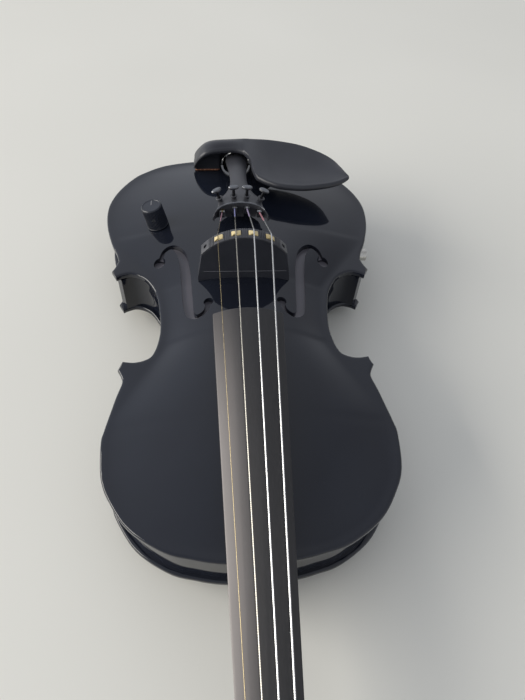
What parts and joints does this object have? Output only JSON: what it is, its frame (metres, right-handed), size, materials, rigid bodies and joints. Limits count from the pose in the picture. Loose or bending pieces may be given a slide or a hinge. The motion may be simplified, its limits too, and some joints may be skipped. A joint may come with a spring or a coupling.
{
  "type": "electric violin",
  "caption": "Black electric violin with a carved, semi-hollow body, pickup bridge, fine-tuner tailpiece, chin rest, volume knob and output jack.",
  "frame": {"origin": "centre of the outer face of the cover in the back, which is the flat that the instrument lies on", "axes": "+Z out of the top plate, +Y from the scroll to the tail, +X to the bass side"},
  "size_m": [0.2108, 0.6012, 0.1003],
  "materials": {
    "gloss_black": "black polyester gloss over wood, polished to a mirror",
    "ebony_black": "ebony, oiled and rubbed to a soft sheen",
    "rest_black": "satin black moulded plastic",
    "composite_black": "black composite, fine matte grain",
    "lever_steel": "pressed steel, satin",
    "black_screws": "black oxide steel",
    "bridge_black": "black moulded bridge, satin",
    "cap_grey": "dark grey cap strip, satin",
    "cream_blocks": "cream ceramic-filled plastic",
    "string_steel": "flat wound steel, satin",
    "knob_black": "black knurled knob, satin",
    "nickel": "bright nickel plate",
    "cork": "orange-brown cork sheet",
    "circuit_green": "green circuit board",
    "cell_dark": "plain dark battery case",
    "cover_black": "satin black plastic",
    "gut_black": "black nylon cord"
  },
  "bodies": {
    "violin": {"top_plate": "gloss_black", "body_core": "gloss_black", "back_plate": "gloss_black", "neck_and_scroll": "gloss_black", "back_cover": "cover_black", "back_cover_screw_1": "black_screws", "back_cover_screw_2": "black_screws", "back_cover_screw_3": "black_screws", "back_cover_screw_4": "black_screws", "fingerboard": "ebony_black", "nut": "ebony_black", "tail_saddle": "ebony_black", "endpin": "ebony_black", "bridge_body": "bridge_black", "bridge_cap": "cap_grey", "tailpiece": "composite_black", "fine_tuner_axle": "string_steel", "string_e": "string_steel", "string_a": "string_steel", "string_d": "string_steel", "string_g": "string_steel", "volume_pot_body": "string_steel", "piezo_saddle_e": "cream_blocks", "piezo_saddle_a": "cream_blocks", "piezo_saddle_d": "cream_blocks", "piezo_saddle_g": "cream_blocks", "tailgut": "gut_black", "volume_pot_nut": "nickel", "output_jack": "nickel", "jack_nut": "nickel", "clamp_post_treble": "nickel", "clamp_post_bass": "nickel", "preamp_board": "circuit_green", "battery": "cell_dark", "chin_rest": "rest_black", "chin_rest_cork_treble": "cork", "chin_rest_cork_bass": "cork"},
    "volume_control": {"volume_knob": "knob_black", "knob_set_screw": "black_screws", "volume_pot_shaft": "nickel"},
    "clamp_foot": {"clamp_bracket": "nickel"},
    "clamp_barrel_treble": {"clamp_barrel_treble": "nickel"},
    "clamp_barrel_bass": {"clamp_barrel_bass": "nickel"},
    "peg_e": {"peg_e": "ebony_black"},
    "peg_a": {"peg_a": "ebony_black"},
    "peg_d": {"peg_d": "ebony_black"},
    "peg_g": {"peg_g": "ebony_black"},
    "tuner_stem_e": {"fine_tuner_stem_e": "black_screws"},
    "tuner_head_e": {"fine_tuner_head_e": "black_screws"},
    "tuner_lever_e": {"fine_tuner_lever_e": "lever_steel"},
    "tuner_stem_a": {"fine_tuner_stem_a": "black_screws"},
    "tuner_head_a": {"fine_tuner_head_a": "black_screws"},
    "tuner_lever_a": {"fine_tuner_lever_a": "lever_steel"},
    "tuner_stem_d": {"fine_tuner_stem_d": "black_screws"},
    "tuner_head_d": {"fine_tuner_head_d": "black_screws"},
    "tuner_lever_d": {"fine_tuner_lever_d": "lever_steel"},
    "tuner_stem_g": {"fine_tuner_stem_g": "black_screws"},
    "tuner_head_g": {"fine_tuner_head_g": "black_screws"},
    "tuner_lever_g": {"fine_tuner_lever_g": "lever_steel"}
  },
  "joints": [
    {"name": "peg_e_turn", "type": "hinge", "parent": "violin", "child": "peg_e", "pos_m": [0, -0.35549, 0.02855], "axis": [1, 0, 0], "continuous": true},
    {"name": "peg_a_turn", "type": "hinge", "parent": "violin", "child": "peg_a", "pos_m": [0, -0.38449, 0.01956], "axis": [1, 0, 0], "continuous": true},
    {"name": "peg_d_turn", "type": "hinge", "parent": "violin", "child": "peg_d", "pos_m": [0, -0.36999, 0.02406], "axis": [1, 0, 0], "continuous": true},
    {"name": "peg_g_turn", "type": "hinge", "parent": "violin", "child": "peg_g", "pos_m": [0, -0.34099, 0.03305], "axis": [1, 0, 0], "continuous": true},
    {"name": "tuner_e_stem_slide", "type": "slide", "parent": "violin", "child": "tuner_stem_e", "axis": [0.2955, 0, -0.9553], "range_m": [-0.001, 0.001]},
    {"name": "tuner_e_head_turn", "type": "hinge", "parent": "tuner_stem_e", "child": "tuner_head_e", "pos_m": [-0.0137, 0.062, 0.07201], "axis": [0.2955, 0, -0.9553], "range_deg": [-721, 721]},
    {"name": "tuner_e_lever_rock", "type": "hinge", "parent": "violin", "child": "tuner_lever_e", "pos_m": [-0.0137, 0.057, 0.07082], "axis": [1, 0, 0], "range_deg": [-10.5, 10.5], "deforming": ["string_e"]},
    {"name": "tuner_a_stem_slide", "type": "slide", "parent": "violin", "child": "tuner_stem_a", "axis": [0.0333, 0, -0.9994], "range_m": [-0.001, 0.001]},
    {"name": "tuner_a_head_turn", "type": "hinge", "parent": "tuner_stem_a", "child": "tuner_head_a", "pos_m": [-0.00457, 0.062, 0.07201], "axis": [0.0333, 0, -0.9994], "range_deg": [-721, 721]},
    {"name": "tuner_a_lever_rock", "type": "hinge", "parent": "violin", "child": "tuner_lever_a", "pos_m": [-0.00457, 0.057, 0.07082], "axis": [1, 0, 0], "range_deg": [-10.5, 10.5], "deforming": ["string_a"]},
    {"name": "tuner_d_stem_slide", "type": "slide", "parent": "violin", "child": "tuner_stem_d", "axis": [-0.0333, 0, -0.9994], "range_m": [-0.001, 0.001]},
    {"name": "tuner_d_head_turn", "type": "hinge", "parent": "tuner_stem_d", "child": "tuner_head_d", "pos_m": [0.00457, 0.062, 0.07201], "axis": [-0.0333, 0, -0.9994], "range_deg": [-721, 721]},
    {"name": "tuner_d_lever_rock", "type": "hinge", "parent": "violin", "child": "tuner_lever_d", "pos_m": [0.00457, 0.057, 0.07082], "axis": [1, 0, 0], "range_deg": [-10.5, 10.5], "deforming": ["string_d"]},
    {"name": "tuner_g_stem_slide", "type": "slide", "parent": "violin", "child": "tuner_stem_g", "axis": [-0.2955, 0, -0.9553], "range_m": [-0.001, 0.001]},
    {"name": "tuner_g_head_turn", "type": "hinge", "parent": "tuner_stem_g", "child": "tuner_head_g", "pos_m": [0.0137, 0.062, 0.07201], "axis": [-0.2955, 0, -0.9553], "range_deg": [-721, 721]},
    {"name": "tuner_g_lever_rock", "type": "hinge", "parent": "violin", "child": "tuner_lever_g", "pos_m": [0.0137, 0.057, 0.07082], "axis": [1, 0, 0], "range_deg": [-10.5, 10.5], "deforming": ["string_g"]},
    {"name": "volume_turn", "type": "hinge", "parent": "violin", "child": "volume_control", "pos_m": [-0.0628, 0.058, 0.05714], "axis": [0.1987, 0, -0.9801], "range_deg": [-150, 150]},
    {"name": "clamp_foot_slide", "type": "slide", "parent": "violin", "child": "clamp_foot", "axis": [0, 0, -1], "range_m": [0, 0.005]},
    {"name": "clamp_barrel_treble_turn", "type": "hinge", "parent": "clamp_foot", "child": "clamp_barrel_treble", "pos_m": [-0.026, 0.1636, 0.0275], "axis": [0, 0, 1], "range_deg": [0, 1501]},
    {"name": "clamp_barrel_bass_turn", "type": "hinge", "parent": "clamp_foot", "child": "clamp_barrel_bass", "pos_m": [0.026, 0.1636, 0.0275], "axis": [0, 0, 1], "range_deg": [0, 1501]}
  ],
  "couplings": [
    {"joint": "tuner_e_head_turn", "follows": "tuner_e_stem_slide", "rad_per_m": 12566},
    {"joint": "tuner_e_lever_rock", "follows": "tuner_e_stem_slide", "rad_per_m": -181.8},
    {"joint": "tuner_a_head_turn", "follows": "tuner_a_stem_slide", "rad_per_m": 12566},
    {"joint": "tuner_a_lever_rock", "follows": "tuner_a_stem_slide", "rad_per_m": -181.8},
    {"joint": "tuner_d_head_turn", "follows": "tuner_d_stem_slide", "rad_per_m": 12566},
    {"joint": "tuner_d_lever_rock", "follows": "tuner_d_stem_slide", "rad_per_m": -181.8},
    {"joint": "tuner_g_head_turn", "follows": "tuner_g_stem_slide", "rad_per_m": 12566},
    {"joint": "tuner_g_lever_rock", "follows": "tuner_g_stem_slide", "rad_per_m": -181.8},
    {"joint": "clamp_barrel_treble_turn", "follows": "clamp_foot_slide", "rad_per_m": 5235.9},
    {"joint": "clamp_barrel_bass_turn", "follows": "clamp_foot_slide", "rad_per_m": 5235.9}
  ]
}
